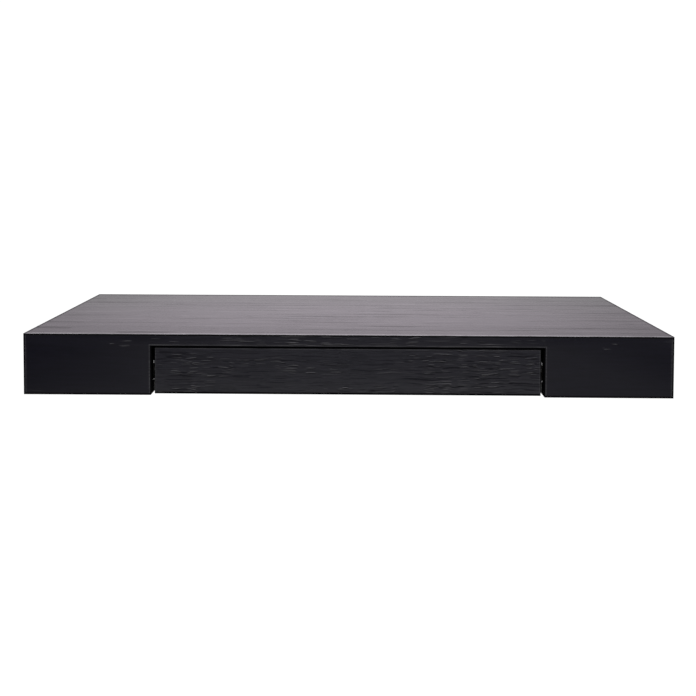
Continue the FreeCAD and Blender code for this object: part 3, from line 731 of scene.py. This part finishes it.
LACQUER_DARK = (0.009, 0.009, 0.010, 1)
LACQUER_LIGHT = (0.016, 0.0155, 0.017, 1)
FIBRE_DARK = (0.14, 0.075, 0.035, 1)
FIBRE_LIGHT = (0.30, 0.175, 0.085, 1)
FIBRE_PRESSED = (0.10, 0.052, 0.024, 1)
MESH_PITCH = 2 * MM
MESH_WIRE = 0.35 * MM
MESH_DEPTH = 0.12 * MM
BLACK = (0, 0, 0, 1)
WHITE = (1, 1, 1, 1)
LOOKS_DOWN = -0.5

side_foil.cover("drawer_left_side", "drawer_right_side")
cross_foil.cover("drawer_back")

hardboard = Finish("hardboard_floor", IOR=1.42)
speckle = hardboard.noise(even(700), 4.0)
cast = hardboard.noise(even(12), 3.0)
under = hardboard.facing("Z") < LOOKS_DOWN
mesh_print = hardboard.node("TexBrick", {"offset": 0.0}, {
    "Vector": hardboard.place, "Scale": 1.0, "Mortar Size": MESH_WIRE, "Brick Width": MESH_PITCH,
    "Row Height": MESH_PITCH, "Color1": BLACK, "Color2": BLACK, "Mortar": WHITE})
lacquered = hardboard.blend(cast, LACQUER_DARK, LACQUER_LIGHT)
bare = hardboard.blend(speckle, FIBRE_DARK, FIBRE_LIGHT)
bare = hardboard.blend(0.5 * mesh_print, bare, FIBRE_PRESSED)
hardboard.vary("Base Color", hardboard.blend(under, lacquered, bare))
hardboard.vary("Roughness", 0.36 + 0.15 * cast + 0.4 * under)
hardboard.relief(0.5 * speckle - mesh_print * under, MESH_DEPTH)
hardboard.cover("drawer_bottom")


# The drawer front is a thinner board in the same oak foil, with a livelier grain and eased edges.
# It is dowelled to the box and grooved for its floor, and hides the box and the slides.
# Its lower edge hangs below the box as the finger pull.

PULL_HALF = 237.5 * MM
PULL_BOARD = 12 * MM
PULL_LOW = -34.5 * MM
PULL_HIGH = 23 * MM
GROOVE_HALF = 225.5 * MM
GROOVE_DEPTH = 5 * MM
GROOVE_LOW = -20.5 * MM
GROOVE_HIGH = -17.2 * MM
BOX_SIDE = 226.5 * MM
BOX_HIGH = 17.5 * MM
LEVEL = (math.pi / 2, 0, 0)

PULL_BACK = FRONT + PULL_BOARD
PULL_MIDDLE = (PULL_HIGH + PULL_LOW) / 2

PULL_DARK = (0.0055, 0.0050, 0.0097, 1)
PULL_LIGHT = (0.0114, 0.0106, 0.0166, 1)
# The deep ink is the flat colour of painted shade round the drawer front's edges and under its pores'
# lips, and of its inked furrows.
DRAWER_SHADE_INK = (0.001, 0.001, 0.0012, 1)
PULL_LINE = 1.4 * MM
ARRIS_FADE = 0.3
PULL_PATCHES = [((-188, -3), (85, 32), 0.18), ((-46, -2), (50, 14), 0.16),
                ((160, -1), (105, 30), 0.3), ((52, -28), (150, 8), 0.3)]

pull = block("wrapped_drawer_front", (-PULL_HALF, FRONT, PULL_LOW), (PULL_HALF, PULL_BACK, PULL_HIGH))
round_over(pull, CUT, lambda start, end: lies(start, end, "Y", FRONT))
cut_out(pull, block("groove", (-GROOVE_HALF, PULL_BACK - GROOVE_DEPTH, GROOVE_LOW),
                    (GROOVE_HALF, PULL_BACK + LEAF, GROOVE_HIGH)))
for side in (-1, 1):
    for quarter in (1, 3):
        height = GROOVE_HIGH + (BOX_HIGH - GROOVE_HIGH) * quarter / 4
        bore(pull, (side * BOX_SIDE, PULL_BACK, height), PULL_BOARD - HOLE_COVER, LEVEL)


def from_edge(oak):
    """Distance outwards from the edge of the drawer front, nought on its narrow faces."""
    beside = abs(oak.coordinate("X")) - PULL_HALF
    return beside.larger(abs(oak.coordinate("Z") - PULL_MIDDLE) - PULL_HIGH + PULL_MIDDLE)


def pull_arris(oak):
    """Distance from the front arris of the drawer front, growing slowly back along its edges."""
    return from_edge(oak) - ARRIS_FADE * from_face(oak)


def pull_foot(oak):
    """Distance from the lower arris of the drawer front, growing slowly back along its underside."""
    return oak.coordinate("Z") - PULL_LOW - ARRIS_FADE * from_face(oak)


def round_pull(oak):
    """Distance from a line on the drawer front just inside its edge."""
    return from_edge(oak) + PULL_LINE + LINE_FADE * from_face(oak)


def open_pull(oak):
    """Where the pores of the drawer front stand open: in four patches."""
    return patches(oak, PULL_PATCHES)


pull_foil = oak_foil(
    "black_oak_drawer", "X", "Z", PULL_DARK, PULL_LIGHT, flecks=0.8, crowd=(0.48, 0.66), lacquer=0.28,
    furrow=FINE_FURROWS, furrowed=1, lined=0.5, gloss=0.28, wave=(22, 30), open_grain=open_pull,
    # A pale line just inside the drawer front's edge is a painted highlight.
    wear_and_painted_light=[(round_pull, 0.8 * MM, EDGE_HIGHLIGHT_PAINT, 0.45, 0.5)],
    # Ink round the drawer front's edges and along its foot is painted shade.
    ink_and_shade_lines=[(pull_arris, 0.9 * MM, 1),
          (pull_foot, 3.2 * MM, 1)],
    ink=DRAWER_SHADE_INK)
dress(pull, pull_foil, "drawer", "black_oak_foil", "drawer_front")


# The studio is a sweep of white paper well below the shelf and far behind it, under soft lamps.
# The paper is white to the camera and takes the shelf's soft shadow. In reflections it is a bright
# backdrop that fades towards its sides, with two softer pools of light on the floor in front.

FLOOR = -0.75
SWEEP_WIDTH = 9.0
SWEEP_FRONT = -4.6
SWEEP_BACK = 2.6
SWEEP_HEIGHT = 3.2
SWEEP_CURVE = 0.9
SWEEP_STEPS = 24
PAPER_DARK = (0.86, 0.86, 0.86, 1)
PAPER_LIGHT = (0.9, 0.9, 0.9, 1)
PAPER_SHARE = 0.9
PAPER_GLOW = 1.12
BACK_GLOW = 0.7
BACK_FADE = (-0.8, 0.8)
BACK_TINT = (1, 0.905, 1, 1)
TINT_FADE = (0.4, 0.7)
HIGH_GLOW = 0.95
HIGH_FADE = (0.4, 1.1)
SIDE_FADE = (0.3, 2.5)
SIDE_LOSS = 0.52
SIDE_MIDDLE = -0.06
POOL_EDGE = (0, 0.75)
POOLS = [((0.15, -3.1, FLOOR), (3.2, 3.0, 0.6), 0.33),
         ((0.25, -1.4, FLOOR), (3.2, 1.5, 0.6), 0.54)]

bpy.ops.object.select_all(action="DESELECT")
bpy.ops.mesh.primitive_plane_add(size=1, location=(0, (SWEEP_FRONT + SWEEP_BACK) / 2, FLOOR))
sweep = bpy.context.object
sweep.name = "paper_sweep"
sweep.scale = (SWEEP_WIDTH, SWEEP_BACK - SWEEP_FRONT, 1)
bpy.ops.object.transform_apply(location=True, rotation=True, scale=True)
pick_edges(sweep, lambda start, end: lies(start, end, "Y", SWEEP_BACK))
bpy.ops.mesh.extrude_region_move(TRANSFORM_OT_translate={"value": (0, 0, SWEEP_HEIGHT)})
bpy.ops.object.mode_set(mode="OBJECT")
pick_edges(sweep, lambda start, end: lies(start, end, "Y", SWEEP_BACK) and lies(start, end, "Z", FLOOR))
bpy.ops.mesh.bevel(offset=SWEEP_CURVE, segments=SWEEP_STEPS, affect="EDGES")
bpy.ops.object.mode_set(mode="OBJECT")
bpy.ops.object.shade_smooth()

paper = Finish("white_paper", Roughness=0.9)
paper.vary("Base Color", paper.blend(paper.noise(even(3), 2.0), PAPER_DARK, PAPER_LIGHT))
seen = paper.node("LightPath", output="Is Camera Ray")
mirrored = paper.node("LightPath", output="Is Glossy Ray")
through = paper.node("LightPath", output="Is Transmission Ray")
bright = seen + mirrored + through > 0.5
back = paper.rise(paper.coordinate("Y"), *BACK_FADE)
height = paper.coordinate("Z")
sides = SIDE_LOSS * paper.rise(abs(paper.coordinate("X") - SIDE_MIDDLE), *SIDE_FADE)
shown = (BACK_GLOW + HIGH_GLOW * paper.rise(height, *HIGH_FADE)) * (1 - sides) * back
for middle, reach, level in POOLS:
    shown = shown + level * paper.rise(paper.spot(middle, reach), *POOL_EDGE)
strength = PAPER_GLOW * seen + shown * (1 - seen)
tinted = back * paper.rise(height, *TINT_FADE)
hue = paper.blend((1 - seen) * tinted, WHITE, BACK_TINT)
glow = paper.node("Emission", inputs={"Color": hue, "Strength": strength})
paper.overlay(PAPER_SHARE * bright, glow)
sweep.data.materials.append(paper.material)

WORLD_LEVEL = 0.17
world = bpy.data.worlds.new("studio")
bpy.context.scene.world = world
world.use_nodes = True
sky = world.node_tree
backdrop = sky.nodes["Background"]
backdrop.inputs["Color"].default_value = WHITE
seen = Value(sky.nodes.new("ShaderNodeLightPath").outputs["Is Camera Ray"])
feed(backdrop.inputs["Strength"], WORLD_LEVEL + (1 - WORLD_LEVEL) * seen)

AIM = Vector((0, -0.12, 0))
LAMPS = {
    "overhead_softbox": ((0, -0.2, 1.9), (4.0, 3.0), 50),
    "front_softbox": ((0.4, -1.9, 0.9), (4.4, 1.6), 24),
}
for name, (place, size, watts) in LAMPS.items():
    lamp = bpy.data.lights.new(name, "AREA")
    lamp.shape = "RECTANGLE"
    lamp.size, lamp.size_y = size
    lamp.energy = watts
    stand = bpy.data.objects.new(name, lamp)
    bpy.context.scene.collection.objects.link(stand)
    stand.location = place
    stand.rotation_euler = (AIM - Vector(place)).to_track_quat("-Z", "Y").to_euler()


# The camera stands a little over a metre in front of the wall, just above the shelf.
# It looks almost level, and the frame is shifted down so that the uprights stay upright.

CAMERA_PLACE = (0.00897, -1.08104, 0.25095)
CAMERA_PAN = 0.010421
CAMERA_TILT = 0.02973
CAMERA_ROLL = 0.003116
CAMERA_LENS = 35.277
CAMERA_SENSOR = 36
CAMERA_SHIFT = -0.23712

camera = bpy.data.objects.new("camera", bpy.data.cameras.new("camera"))
bpy.context.scene.collection.objects.link(camera)
camera.location = CAMERA_PLACE
camera.rotation_euler = (Matrix.Rotation(CAMERA_PAN, 3, "Z")
                         @ Matrix.Rotation(math.pi / 2 - CAMERA_TILT, 3, "X")
                         @ Matrix.Rotation(CAMERA_ROLL, 3, "Z")).to_euler()
camera.data.lens = CAMERA_LENS
camera.data.sensor_width = CAMERA_SENSOR
camera.data.shift_y = CAMERA_SHIFT
bpy.context.scene.camera = camera
bpy.context.scene.view_settings.view_transform = "Standard"
